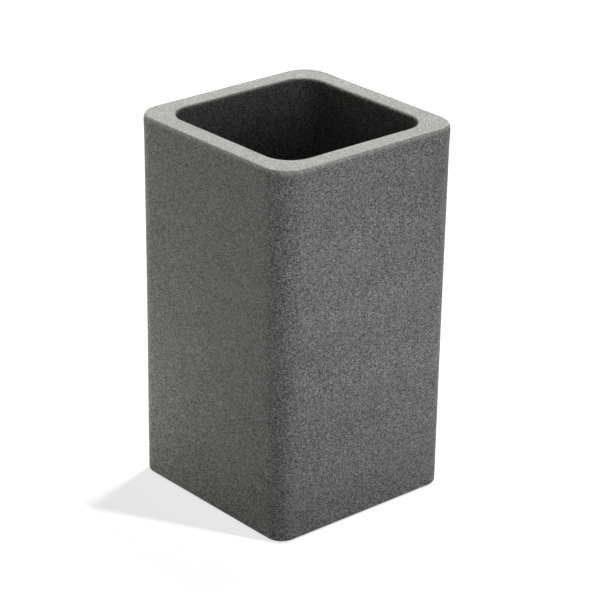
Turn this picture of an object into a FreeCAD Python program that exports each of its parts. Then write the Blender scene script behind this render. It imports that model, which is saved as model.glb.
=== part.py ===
import FreeCAD, Part

import math
import os

# A toothbrush holder: a tall square tumbler with rounded corners, cast in one piece from
# stone-filled resin, that stands on four round anti-slip feet. Each foot is a die-cut rubber
# pad held by a disc of double-sided adhesive in a shallow round seat under the base.
# Lengths are in millimetres and angles in degrees. +Z is up. The origin is the middle of the
# plane that the feet stand on, and the side walls face +X, -X, +Y and -Y.

# Cast body, outside. The draft makes it narrower towards the base, and its corners get tighter
# on the way down.
rim_width = 70.3
body_height = 119.6
rim_corner_radius = 8.5
base_corner_radius = 5.5
outer_draft_angle = 0.71
base_edge_round = 1.0
rim_outer_round = 1.2

# Cast body, inside. The cavity is drafted the same way, so that its core pulls out upwards.
rim_wall = 7.15
base_thickness = 8.0
cavity_corner_radius = 8.3
cavity_draft_angle = 0.4
cavity_floor_round = 6.0
rim_inner_round = 1.2

# Feet. The seat is as deep as the foot and its adhesive, less what the foot stands proud. The
# adhesive stops short of the foot's edge by the margin, all round.
foot_diameter = 11.0
foot_thickness = 1.2
foot_edge_round = 0.3
foot_stand_off = 0.4
foot_inset = 11.0
adhesive_margin = 0.3
adhesive_thickness = 0.2
foot_seat_clearance = 0.3

# How far a cutter runs past the face that it opens.
cutter_overrun = 1.0

rim_z = foot_stand_off + body_height
cavity_floor_z = foot_stand_off + base_thickness
adhesive_z = foot_thickness
seat_roof_z = foot_thickness + adhesive_thickness
rim_half_width = rim_width / 2
base_half_width = rim_half_width - body_height * math.tan(math.radians(outer_draft_angle))
cavity_half_width = rim_half_width - rim_wall
cavity_depth = rim_z - cavity_floor_z
foot_offset = base_half_width - foot_inset
adhesive_radius = foot_diameter / 2 - adhesive_margin

corners = {
    "front_left": (-1, -1),
    "front_right": (1, -1),
    "back_right": (1, 1),
    "back_left": (-1, 1),
}


def rounded_square(half_width, corner_radius, z):
    """A closed square outline with arcs for corners, level at height z."""
    straight = half_width - corner_radius
    arc_middle = straight + corner_radius * math.cos(math.radians(45))
    edges = []
    for quarter in range(4):
        turn = FreeCAD.Rotation(FreeCAD.Vector(0, 0, 1), 90 * quarter)
        side_start, side_end, arc_point, arc_end = (
            turn.multVec(FreeCAD.Vector(x, y, z))
            for x, y in (
                (half_width, -straight),
                (half_width, straight),
                (arc_middle, arc_middle),
                (straight, half_width),
            )
        )
        edges.append(Part.LineSegment(side_start, side_end).toShape())
        edges.append(Part.Arc(side_end, arc_point, arc_end).toShape())
    return Part.Wire(edges)


def drafted_block(half_width, draft_angle, bottom, top):
    """A rounded square block whose walls lean in by draft_angle going down. Its half width is
    given at the rim. Bottom and top each give a height and the corner radius there."""
    outlines = []
    for z, corner_radius in (bottom, top):
        inset = (rim_z - z) * math.tan(math.radians(draft_angle))
        outlines.append(rounded_square(half_width - inset, corner_radius, z))
    return Part.makeLoft(outlines, True, True)


def level_edges(shape, z, within=None):
    """The edges of a shape that lie level at height z, and, where within is given, no further
    than that from the middle."""
    found = []
    for edge in shape.Edges:
        box = edge.BoundBox
        reach = max(abs(box.XMin), abs(box.XMax), abs(box.YMin), abs(box.YMax))
        level = math.isclose(box.ZMin, z, abs_tol=1e-4) and math.isclose(box.ZMax, z, abs_tol=1e-4)
        if level and (within is None or reach < within):
            found.append(edge)
    return found


def foot_centre(corner):
    """Where a foot's axis meets the plane that the feet stand on."""
    x_sign, y_sign = corners[corner]
    return FreeCAD.Vector(x_sign * foot_offset, y_sign * foot_offset, 0)


def foot_seat(corner):
    """The cutter for the round seat that takes one foot, open downwards."""
    seat_bottom = foot_centre(corner)
    seat_bottom.z = foot_stand_off - cutter_overrun
    seat_radius = foot_diameter / 2 + foot_seat_clearance
    return Part.makeCylinder(seat_radius, seat_roof_z - seat_bottom.z, seat_bottom)


def cup_body():
    """The cast tumbler: drafted walls, a rounded mouth, a dished floor and four foot seats."""
    block = drafted_block(
        rim_half_width,
        outer_draft_angle,
        (foot_stand_off, base_corner_radius),
        (rim_z, rim_corner_radius),
    )
    block = block.makeFillet(base_edge_round, level_edges(block, foot_stand_off))
    block = block.makeFillet(rim_outer_round, level_edges(block, rim_z))
    cavity_inset = cavity_depth * math.tan(math.radians(cavity_draft_angle))
    core = drafted_block(
        cavity_half_width,
        cavity_draft_angle,
        (cavity_floor_z, cavity_corner_radius - cavity_inset),
        (rim_z + cutter_overrun, cavity_corner_radius),
    )
    core = core.makeFillet(cavity_floor_round, level_edges(core, cavity_floor_z))
    body = block.cut(core)
    mouth = level_edges(body, rim_z, within=cavity_half_width + rim_inner_round / 2)
    body = body.makeFillet(rim_inner_round, mouth)
    for corner in corners:
        body = body.cut(foot_seat(corner))
    return body


def foot_pad(corner):
    """One die-cut rubber foot, with its lower edge eased."""
    pad = Part.makeCylinder(foot_diameter / 2, foot_thickness, foot_centre(corner))
    return pad.makeFillet(foot_edge_round, level_edges(pad, 0))


def adhesive_disc(corner):
    """The disc of double-sided adhesive between a foot and the roof of its seat."""
    centre = foot_centre(corner)
    centre.z = adhesive_z
    return Part.makeCylinder(adhesive_radius, adhesive_thickness, centre)


def write(name, shape):
    """Writes one sub-part as its only solid, and prints what it weighs up to."""
    (solid,) = shape.Solids
    solid.exportStep(os.path.join("parts", name + ".step"))
    print(f"{name}: {solid.Volume / 1000:.3f} cm3, valid {solid.isValid()}")


def main():
    os.makedirs("parts", exist_ok=True)
    write("cup_body", cup_body())
    for corner in corners:
        write("foot_" + corner, foot_pad(corner))
        write("adhesive_" + corner, adhesive_disc(corner))


main()
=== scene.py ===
import math

import bmesh
import bpy
from mathutils import Matrix, Quaternion, Vector, noise


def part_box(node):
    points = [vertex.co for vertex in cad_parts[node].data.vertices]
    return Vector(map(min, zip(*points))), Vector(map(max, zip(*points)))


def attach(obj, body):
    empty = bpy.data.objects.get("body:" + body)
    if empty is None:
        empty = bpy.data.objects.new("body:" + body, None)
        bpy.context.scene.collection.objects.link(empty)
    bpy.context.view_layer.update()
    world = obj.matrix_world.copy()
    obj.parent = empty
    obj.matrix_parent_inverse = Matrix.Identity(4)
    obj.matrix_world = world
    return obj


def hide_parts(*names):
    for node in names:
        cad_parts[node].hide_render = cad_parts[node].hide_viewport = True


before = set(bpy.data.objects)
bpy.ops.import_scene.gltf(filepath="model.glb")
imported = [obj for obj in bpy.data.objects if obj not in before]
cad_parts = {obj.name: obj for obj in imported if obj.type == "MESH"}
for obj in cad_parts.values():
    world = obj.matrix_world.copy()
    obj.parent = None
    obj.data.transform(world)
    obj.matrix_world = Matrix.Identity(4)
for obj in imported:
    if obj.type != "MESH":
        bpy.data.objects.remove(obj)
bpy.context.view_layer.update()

# A square stone-resin toothbrush tumbler on four rubber feet, on a white studio table.
# Lengths are in metres and angles in degrees.

MM = 0.001

# The tumbler, from the frame and the casting's own sizes.
body_low, body_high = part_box("cup_body")
rim_z = body_high.z
rim_half = body_high.x
base_z = body_low.z
rim_corner_radius = 8.5 * MM
base_corner_radius = 5.5 * MM
# On their way up the corners head for a radius this much larger, but tighten again over the
# last stretch below the rim.
corner_tightening = 0.6 * MM
tightening_reach = 10 * MM
outer_draft = 0.71
base_round = 1.0 * MM
# The rim's edges are eased: how far in across the rim, and how far down the wall.
rim_outer_ease = (0.7 * MM, 2.2 * MM)
rim_inner_ease = (0.75 * MM, 1.1 * MM)
rim_wall = 7.15 * MM
base_thickness = 8.0 * MM
cavity_corner_radius = 8.3 * MM
cavity_draft = 0.4
cavity_floor_round = 6.0 * MM
seat_clearance = 0.3 * MM
seat_lip_round = 0.15 * MM
# Halfway round, a seat's lip stands this share of its round clear of the wall and the base.
seat_lip_share = 0.3

# The casting shrinks a little as it cures: its walls sink by up to this at mid height.
wall_sink = 0.07 * MM
# Broad and fine unevenness left by the mould: how deep, and how far from dip to dip.
unevenness = ((0.030 * MM, 24 * MM), (0.010 * MM, 7 * MM))

# How finely the casting is modelled.
side_steps = 42
corner_steps = 12
wall_step = 1.5 * MM
round_steps = 10
seat_steps = 64
holding_step = 0.12 * MM
# The rings of the cavity's floor shrink in even steps, down to the last one's share of its width.
floor_share_step, floor_last_share = 0.08, 0.06

# The stone: ground mineral bound in resin. Its grains lie between two colours, stone_grey is
# their mean share of the lighter one, and each contrast is how far that share varies.
dark_grain = (0.022, 0.022, 0.020)
light_grain = (0.520, 0.518, 0.498)
stone_grey = 0.247
grain_size, grain_contrast = 0.29 * MM, 0.49
coarse_grain_size, coarse_contrast = 0.62 * MM, 0.12
cloud_size, cloud_contrast, cloud_detail = 7 * MM, 0.08, 3.0
patch_size, patch_contrast, patch_detail = 45 * MM, 0.05, 1.0
# The lightest grains show as specks.
speck_start, speck_paler = 0.88, 0.18
grain_relief = 0.17 * MM
coarse_relief_share = 0.35
stone_roughness, grain_smoother, cloud_rougher = 0.62, 0.2, 0.1
# The rim and its edges are rubbed smoother and painted paler. The paleness is partly wear and partly
# a painted highlight, where the top light falls on the rim, with a painted glow along its lit edges.
# Both fade out this far down the outside and the inside.
wear_and_highlight_outside = 1.7 * MM
wear_and_highlight_inside = 0.8 * MM
rim_paler_wear_and_highlight = 0.385
rim_smoother = 0.25
# Across the rim, the outside's fading takes over from the inside's between these shares of the
# wall, counted from its outer side.
outside_start_share, outside_full_share = 0.8, 0.5
gloss = 0.2

# The feet's rubber and the adhesive that holds them: each between a main and a second colour.
rubber_black = (0.018, 0.018, 0.019)
rubber_dust = (0.055, 0.053, 0.050)
pebble_size, pebble_relief = 0.35 * MM, 0.03 * MM
dust_size, dust_start, dust_full = 1.8 * MM, 0.5, 0.78
rubber_roughness, dust_rougher = 0.6, 0.25
adhesive_film = (0.50, 0.46, 0.34)
adhesive_fibre = (0.72, 0.69, 0.58)
fibre_size, fibre_relief = 0.6 * MM, 0.02 * MM
fibre_start, fibre_full = 0.35, 0.7
adhesive_roughness, fibre_smoother = 0.5, 0.15

# The camera, as in the photograph: where it stands round the cup, what it aims at, and its tilt.
# Its lens and its sensor are in millimetres.
camera_azimuth = -41.116
camera_elevation = 23.595
camera_distance = 0.79548
camera_aim = Vector((1.096 * MM, 1.521 * MM, 60.399 * MM))
camera_roll = -0.898
camera_lens = 154.969
camera_sensor = 36.0
camera_near_limit = 10 * MM

# The table: its white, how much it glows where the camera or gloss sees it, and its half width.
floor_white = 0.85
floor_glow = 0.757
floor_half = 4.0

# The colours of the lamps and the surroundings.
white = (1.0, 1.0, 1.0)
warm_white = (1.0, 0.985, 0.94)
warmer_white = (1.0, 0.97, 0.90)
cool_white = (0.95, 0.97, 1.0)
lemon_white = (1.0, 1.0, 0.96)

# Lamps far away: azimuth, elevation, strength, width and colour.
table_lamps = {"table_lamp_right": (28.6, 60, 0.30, 2.2), "table_lamp_back": (107, 71, 0.32, 4.4)}
holder_lamps = {
    "softbox_above": (131, 85, 0.425, 24),
    "softbox_high": (135, 60, 0.108, 24),
    "softbox_behind": (135, 25, 0.254, 24, warmer_white),
    "softbox_left": (180, 25, 0.276, 24, warm_white),
    "card_behind": (150, 5, 0.241, 24),
    "card_back": (120, 5, 0.228, 24),
    "card_right": (0, 5, 0.085, 24),
}
# Cards beside the holder: azimuth, distance, height, width, power and colour.
near_cards = {
    "high_card_right": (0, 300 * MM, 170 * MM, 150 * MM, 0.150, cool_white),
    "near_card_corner": (350, 120 * MM, 90 * MM, 50 * MM, 0.025, cool_white),
    "low_card_right": (30, 100 * MM, 40 * MM, 40 * MM, 0.013, cool_white),
    "low_card_corner": (350, 120 * MM, 60 * MM, 50 * MM, 0.010, cool_white),
    "near_card_front": (225, 200 * MM, 70 * MM, 120 * MM, 0.100, lemon_white),
    "low_card_front": (235, 90 * MM, 22 * MM, 20 * MM, 0.010, lemon_white),
    "low_card_left": (225, 120 * MM, 30 * MM, 60 * MM, 0.003, lemon_white),
}

feet = [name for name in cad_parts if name.startswith("foot_")]
adhesives = [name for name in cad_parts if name.startswith("adhesive_")]


# Shader maths


class Value:
    """A number that varies over a surface, for use in plain arithmetic."""

    def __init__(self, finish, socket):
        self.finish = finish
        self.socket = socket

    def _maths(self, operation, *operands, **settings):
        settings = {"operation": operation, **settings}
        return self.finish.node("ShaderNodeMath", settings, operands)["Value"]

    def __add__(self, other):
        return self._maths("ADD", self, other)

    def __sub__(self, other):
        return self._maths("SUBTRACT", self, other)

    def __rsub__(self, other):
        return self._maths("SUBTRACT", other, self)

    def __mul__(self, other):
        return self._maths("MULTIPLY", self, other)

    __radd__ = __add__
    __rmul__ = __mul__

    def clamped(self):
        """Held between 0 and 1."""
        return self._maths("ADD", self, 0.0, use_clamp=True)

    def larger(self, other):
        return self._maths("MAXIMUM", self, other)

    def step_up(self, start, end):
        """0 below start and 1 above end, with a soft step between them."""
        settings = {"interpolation_type": "SMOOTHSTEP"}
        inputs = {"Value": self, "From Min": start, "From Max": end}
        return self.finish.node("ShaderNodeMapRange", settings, inputs)["Result"]


class Finish:
    """The nodes of a material, or of the world."""

    def __init__(self, owner):
        owner.use_nodes = True
        self.owner = owner
        self.tree = owner.node_tree
        self.tree.nodes.clear()

    def node(self, kind, settings=None, inputs=()):
        """Adds a node, and sets its settings first and then its inputs, by name, by number or in
        order. What it gives back finds an output by name or number."""
        made = self.tree.nodes.new(kind)
        for key, value in (settings or {}).items():
            setattr(made, key, value)
        named = inputs.items() if isinstance(inputs, dict) else enumerate(inputs)
        for key, value in named:
            if isinstance(value, Value):
                self.tree.links.new(value.socket, made.inputs[key])
            else:
                made.inputs[key].default_value = value
        return Outputs(self, made)

    def mix(self, share, first, second):
        """A colour between two plain ones, by share of the second. Its sockets go by number,
        because the ones for other types have the same names."""
        inputs = {0: share, 6: (*first, 1.0), 7: (*second, 1.0)}
        return self.node("ShaderNodeMix", {"data_type": "RGBA"}, inputs)[2]

    def surface(self, inputs):
        """Ends the material in one principled surface."""
        shader = self.node("ShaderNodeBsdfPrincipled", None, inputs)["BSDF"]
        self.node("ShaderNodeOutputMaterial", None, {"Surface": shader})
        return self.owner


class Outputs:
    """The outputs of one node, found by name or number."""

    def __init__(self, finish, made):
        self.finish = finish
        self.made = made

    def __getitem__(self, name):
        return Value(self.finish, self.made.outputs[name])


# The cast tumbler


def outline(half, radius, z):
    """The points of a level square with rounded corners, with the same count at any size."""
    straight = half - radius
    points = []
    for quarter in range(4):
        turn = Matrix.Rotation(math.radians(90 * quarter), 3, "Z")
        for i in range(side_steps):
            points.append(turn @ Vector((half, straight * (2 * i / side_steps - 1), z)))
        for i in range(corner_steps):
            angle = math.radians(90 * i / corner_steps)
            across = radius * math.cos(angle)
            along = radius * math.sin(angle)
            points.append(turn @ Vector((straight + across, straight + along, z)))
    return points


def evenly(start, end, step):
    """Values from start to end, both included, about a step apart."""
    count = max(1, round(abs(end - start) / step))
    return [start + (end - start) * i / count for i in range(count + 1)]


def outer_size(z):
    """Half width and corner radius of the outside at height z."""
    inset = (rim_z - z) * math.tan(math.radians(outer_draft))
    share = (z - base_z) / (rim_z - base_z)
    sink = wall_sink * math.sin(math.pi * share) ** 2
    tighter = max(0.0, 1 - (rim_z - z) / tightening_reach) ** 2
    widening = rim_corner_radius + corner_tightening - base_corner_radius
    corner = base_corner_radius + widening * share - corner_tightening * tighter
    return rim_half - inset - sink, corner


def cavity_size(z):
    """Half width and corner radius of the cavity at height z."""
    inset = (rim_z - z) * math.tan(math.radians(cavity_draft))
    return rim_half - rim_wall - inset, cavity_corner_radius - inset


def eased_edge(wall, across, along, middle_z, start, end):
    """Rings round an edge: wall is the half width and corner radius where the edge meets the
    wall, across and along are how far the edge reaches from there, with across below zero where
    it opens outwards, and the angles turn from level, 0, to straight up, 90."""
    half, corner = wall
    rings = []
    for angle in evenly(start, end, 90 / round_steps):
        shift = across * (1 - math.cos(math.radians(angle)))
        z = middle_z + along * math.sin(math.radians(angle))
        rings.append((half - shift, corner - shift, z))
    return rings


def cup_rings():
    """The casting's section as half width, corner radius and height, from the underside up the
    outside, over the rim and down to the middle of the cavity's floor."""
    wall_start = base_z + base_round
    base_edge = outer_size(wall_start)
    low_half, low_corner = (size - base_round - holding_step for size in base_edge)
    rings = [(low_half, low_corner, base_z)]
    rings += eased_edge(base_edge, base_round, base_round, wall_start, -90, 0)
    out_across, out_down = rim_outer_ease
    in_across, in_down = rim_inner_ease
    wall_end, cavity_start = rim_z - out_down, rim_z - in_down
    for z in evenly(wall_start + holding_step, wall_end - holding_step, wall_step):
        rings.append((*outer_size(z), z))
    outer_edge, cavity_edge = outer_size(wall_end), cavity_size(cavity_start)
    rings += eased_edge(outer_edge, out_across, out_down, wall_end, 0, 90)
    land = outer_edge[0] - cavity_edge[0]
    for inset in evenly(out_across + holding_step, land - in_across - holding_step, wall_step / 2):
        share = inset / land
        corner = outer_edge[1] - inset * (1 - share) + (cavity_edge[1] - outer_edge[1]) * share
        rings.append((outer_edge[0] - inset, corner, rim_z))
    rings += eased_edge(cavity_edge, -in_across, in_down, cavity_start, 90, 0)
    floor_z = base_z + base_thickness
    bowl_start = floor_z + cavity_floor_round
    for z in evenly(cavity_start - holding_step, bowl_start, wall_step):
        rings.append((*cavity_size(z), z))
    bowl = eased_edge(cavity_size(bowl_start), cavity_floor_round, cavity_floor_round, 0, 0, 90)
    rings += [(half, corner, bowl_start - z) for half, corner, z in bowl[1:]]
    flat_half, flat_corner = rings[-1][:2]
    for share in evenly(1 - holding_step / flat_half, floor_last_share, floor_share_step):
        rings.append((flat_half * share, flat_corner * share, floor_z))
    return rings


def add_ring(mesh, points):
    return [mesh.verts.new(point) for point in points]


def bridge(mesh, lower, upper):
    """Faces between two rings of as many points, facing out where upper follows lower."""
    count = len(lower)
    for i in range(count):
        j = (i + 1) % count
        mesh.faces.new((lower[i], lower[j], upper[j], upper[i]))


def circle(centre, radius, z):
    points = []
    for i in range(seat_steps):
        angle = math.radians(360 * i / seat_steps)
        across, along = radius * math.cos(angle), radius * math.sin(angle)
        points.append(Vector((centre.x + across, centre.y + along, z)))
    return points


def foot_seat(mesh, foot):
    """One round seat under the base, with an eased lip. Gives its lip's ring."""
    low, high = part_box(foot)
    centre = (low + high) / 2
    radius = (high.x - low.x) / 2 + seat_clearance
    roof_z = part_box(foot.replace("foot_", "adhesive_"))[1].z
    lip = add_ring(mesh, circle(centre, radius + seat_lip_round, base_z))
    ease = seat_lip_share * seat_lip_round
    eased = add_ring(mesh, circle(centre, radius + ease, base_z + ease))
    wall = add_ring(mesh, circle(centre, radius, base_z + seat_lip_round))
    roof_edge = add_ring(mesh, circle(centre, radius, roof_z))
    for lower, upper in zip((lip, eased, wall), (eased, wall, roof_edge)):
        bridge(mesh, upper, lower)
    mesh.faces.new(reversed(roof_edge))
    return lip


def loop_edges(mesh, ring):
    """The edges between neighbours in a ring, made where they aren't there yet."""
    ends = [(ring[i - 1], ring[i]) for i in range(len(ring))]
    return [mesh.edges.get(pair) or mesh.edges.new(pair) for pair in ends]


def press_in_unevenness(mesh):
    """Sets the surface back by the mould's slight unevenness, never outwards."""
    mesh.normal_update()
    for vertex in mesh.verts:
        depth = 0.0
        for size, spacing in unevenness:
            depth += size * (0.5 + 0.5 * noise.noise(vertex.co / spacing))
        vertex.co -= vertex.normal * depth


def build_cup():
    mesh = bmesh.new()
    rings = [add_ring(mesh, outline(*ring)) for ring in cup_rings()]
    for lower, upper in zip(rings, rings[1:]):
        bridge(mesh, lower, upper)
    mesh.faces.new(rings[-1])
    edges = loop_edges(mesh, rings[0])
    for foot in feet:
        edges += loop_edges(mesh, foot_seat(mesh, foot))
    bmesh.ops.triangle_fill(mesh, use_beauty=True, edges=edges, normal=(0, 0, -1))
    press_in_unevenness(mesh)
    for face in mesh.faces:
        face.smooth = True
    data = bpy.data.meshes.new("cast_cup")
    mesh.to_mesh(data)
    mesh.free()
    cup = bpy.data.objects.new("cast_cup", data)
    bpy.context.scene.collection.objects.link(cup)
    return cup


def stone_material():
    """Cast stone resin: light and dark grains, faint clouding, a fine pitted relief, and a rim
    painted paler, partly as wear and partly as a painted highlight.
    """
    finish = Finish(bpy.data.materials.new("cast_stone"))
    place = finish.node("ShaderNodeTexCoord")["Object"]

    def grains(size):
        cells = finish.node("ShaderNodeTexVoronoi", None, {"Vector": place, "Scale": 1 / size})
        shade = finish.node("ShaderNodeSeparateColor", None, {"Color": cells["Color"]})["Red"]
        return shade, cells["Distance"]

    def clouds(size, detail):
        inputs = {"Vector": place, "Scale": 1 / size, "Detail": detail}
        return finish.node("ShaderNodeTexNoise", None, inputs)["Fac"]

    along = finish.node("ShaderNodeSeparateXYZ", None, {"Vector": place})
    x, y, z = (along[axis] for axis in "XYZ")
    reach = x.larger(x * -1.0).larger(y.larger(y * -1.0))
    outside_start, outside_full = (
        rim_half - share * rim_wall for share in (outside_start_share, outside_full_share)
    )
    outside = reach.step_up(outside_start, outside_full)
    # The rim's mask: partly rubbed wear, partly a painted highlight for the light on the rim and
    # along its edges.
    rim_wear_and_highlight = z.step_up(rim_z - wear_and_highlight_outside, rim_z) * outside
    rim_wear_and_highlight = rim_wear_and_highlight + z.step_up(rim_z - wear_and_highlight_inside, rim_z) * (1.0 - outside)
    fine, fine_hill = grains(grain_size)
    coarse, coarse_hill = grains(coarse_grain_size)
    cloud = clouds(cloud_size, cloud_detail)
    patch = clouds(patch_size, patch_detail)
    specks = fine.step_up(speck_start, 1.0)
    shade = stone_grey + (fine - 0.5) * grain_contrast + (coarse - 0.5) * coarse_contrast
    # The paler rim is partly wear and partly a painted highlight.
    shade = shade + specks * speck_paler + rim_wear_and_highlight * rim_paler_wear_and_highlight
    shade = shade + (cloud - 0.5) * cloud_contrast + (patch - 0.5) * patch_contrast
    colour = finish.mix(shade.clamped(), dark_grain, light_grain)
    height = (fine_hill * fine + coarse_hill * coarse_relief_share) * (1.0 - rim_wear_and_highlight * rim_smoother)
    bump = {"Strength": 1.0, "Distance": grain_relief, "Height": height}
    normal = finish.node("ShaderNodeBump", None, bump)["Normal"]
    rough = stone_roughness - fine * grain_smoother + (cloud - 0.5) * cloud_rougher
    inputs = {"Base Color": colour, "Roughness": rough, "Normal": normal, "Specular IOR Level": gloss}
    return finish.surface(inputs)


def rubber_material():
    """Black rubber, matt and faintly pebbled, with a little dust."""
    finish = Finish(bpy.data.materials.new("black_rubber"))
    place = finish.node("ShaderNodeTexCoord")["Object"]
    pebble = finish.node("ShaderNodeTexVoronoi", None, {"Vector": place, "Scale": 1 / pebble_size})
    inputs = {"Vector": place, "Scale": 1 / dust_size, "Detail": 6.0}
    dusty = finish.node("ShaderNodeTexNoise", None, inputs)["Fac"].step_up(dust_start, dust_full)
    colour = finish.mix(dusty, rubber_black, rubber_dust)
    bump = {"Strength": 1.0, "Distance": pebble_relief, "Height": pebble["Distance"]}
    normal = finish.node("ShaderNodeBump", None, bump)["Normal"]
    rough = rubber_roughness + dusty * dust_rougher
    return finish.surface({"Base Color": colour, "Roughness": rough, "Normal": normal})


def adhesive_material():
    """Yellowish adhesive film with fine fibres."""
    finish = Finish(bpy.data.materials.new("adhesive_film"))
    place = finish.node("ShaderNodeTexCoord")["Object"]
    inputs = {"Vector": place, "Scale": 1 / fibre_size, "Detail": 4.0, "Distortion": 2.0}
    fibre = finish.node("ShaderNodeTexNoise", None, inputs)["Fac"].step_up(fibre_start, fibre_full)
    colour = finish.mix(fibre, adhesive_film, adhesive_fibre)
    bump = {"Strength": 1.0, "Distance": fibre_relief, "Height": fibre}
    normal = finish.node("ShaderNodeBump", None, bump)["Normal"]
    rough = adhesive_roughness - fibre * fibre_smoother
    return finish.surface({"Base Color": colour, "Roughness": rough, "Normal": normal})


# The studio


def facing(azimuth, elevation):
    """The direction that lies at that azimuth from +X, anticlockwise, and that elevation."""
    a, e = math.radians(azimuth), math.radians(elevation)
    return Vector((math.cos(a) * math.cos(e), math.sin(a) * math.cos(e), math.sin(e)))


def place_camera():
    data = bpy.data.cameras.new("camera")
    data.lens = camera_lens
    data.sensor_width = camera_sensor
    data.clip_start = camera_near_limit
    camera = bpy.data.objects.new("camera", data)
    bpy.context.scene.collection.objects.link(camera)
    back = facing(camera_azimuth, camera_elevation)
    level = (-back).to_track_quat("-Z", "Y")
    camera.rotation_mode = "QUATERNION"
    camera.rotation_quaternion = Quaternion(-back, math.radians(camera_roll)) @ level
    camera.location = camera_aim + back * camera_distance
    bpy.context.scene.camera = camera


def seen_rays(finish):
    """1 for a ray from the camera, a glossy surface or a clear one, and 0 for any other."""
    path = finish.node("ShaderNodeLightPath")
    seen = path["Is Camera Ray"].larger(path["Is Glossy Ray"])
    return seen.larger(path["Is Transmission Ray"])


def build_floor():
    """A white table that shows as white where light falls on it, and keeps the shadow."""
    finish = Finish(bpy.data.materials.new("white_table"))
    paint = (floor_white, floor_white, floor_white, 1.0)
    matt = finish.node("ShaderNodeBsdfDiffuse", None, {"Color": paint})
    glow = finish.node("ShaderNodeEmission", None, {"Strength": seen_rays(finish) * floor_glow})
    both = finish.node("ShaderNodeAddShader", None, (matt["BSDF"], glow["Emission"]))
    finish.node("ShaderNodeOutputMaterial", None, {"Surface": both["Shader"]})
    mesh = bmesh.new()
    bmesh.ops.create_grid(mesh, x_segments=1, y_segments=1, size=floor_half)
    data = bpy.data.meshes.new("white_table")
    mesh.to_mesh(data)
    mesh.free()
    floor = bpy.data.objects.new("white_table", data)
    floor.data.materials.append(finish.owner)
    bpy.context.scene.collection.objects.link(floor)
    return floor


def build_world():
    """White surroundings for the camera and for gloss, which light nothing else."""
    world = bpy.data.worlds.new("studio")
    bpy.context.scene.world = world
    finish = Finish(world)
    inputs = {"Color": (*white, 1.0), "Strength": seen_rays(finish)}
    sky = finish.node("ShaderNodeBackground", None, inputs)
    finish.node("ShaderNodeOutputWorld", None, {"Surface": sky["Background"]})


def add_sun(name, azimuth, elevation, strength, width, colour=white):
    """A distant lamp that spans width degrees. At strength 1 it lights a white face to white."""
    data = bpy.data.lights.new(name, "SUN")
    data.energy = math.pi * strength
    data.angle = math.radians(width)
    data.color = colour
    lamp = bpy.data.objects.new(name, data)
    bpy.context.scene.collection.objects.link(lamp)
    lamp.rotation_mode = "QUATERNION"
    lamp.rotation_quaternion = facing(azimuth, elevation).to_track_quat("Z", "Y")
    return lamp


def add_near_card(name, azimuth, distance, height, width, power, colour=white):
    """A square lamp of that width, upright and turned towards the cup's axis."""
    data = bpy.data.lights.new(name, "AREA")
    data.energy = power
    data.size = width
    data.color = colour
    card = bpy.data.objects.new(name, data)
    bpy.context.scene.collection.objects.link(card)
    toward = facing(azimuth, 0)
    card.location = toward * distance + Vector((0, 0, height))
    card.rotation_mode = "QUATERNION"
    card.rotation_quaternion = toward.to_track_quat("Z", "Y")
    card.visible_camera = False
    return card


# The whole scene

cup = build_cup()
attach(cup, "root")
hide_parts("cup_body")
cup.data.materials.append(stone_material())
for names, material in ((feet, rubber_material()), (adhesives, adhesive_material())):
    for name in names:
        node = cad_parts[name]
        node.data.materials.clear()
        node.data.materials.append(material)

place_camera()
table = build_floor()
build_world()
holder_only = bpy.data.collections.new("holder_lit")
for piece in (cup, *(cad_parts[name] for name in feet + adhesives)):
    holder_only.objects.link(piece)
table_only = bpy.data.collections.new("table_lit")
table_only.objects.link(table)
for name, settings in table_lamps.items():
    add_sun(name, *settings).light_linking.receiver_collection = table_only
for lamps, add_lamp in ((holder_lamps, add_sun), (near_cards, add_near_card)):
    for name, settings in lamps.items():
        add_lamp(name, *settings).light_linking.receiver_collection = holder_only

bpy.context.scene.view_settings.view_transform = "Standard"
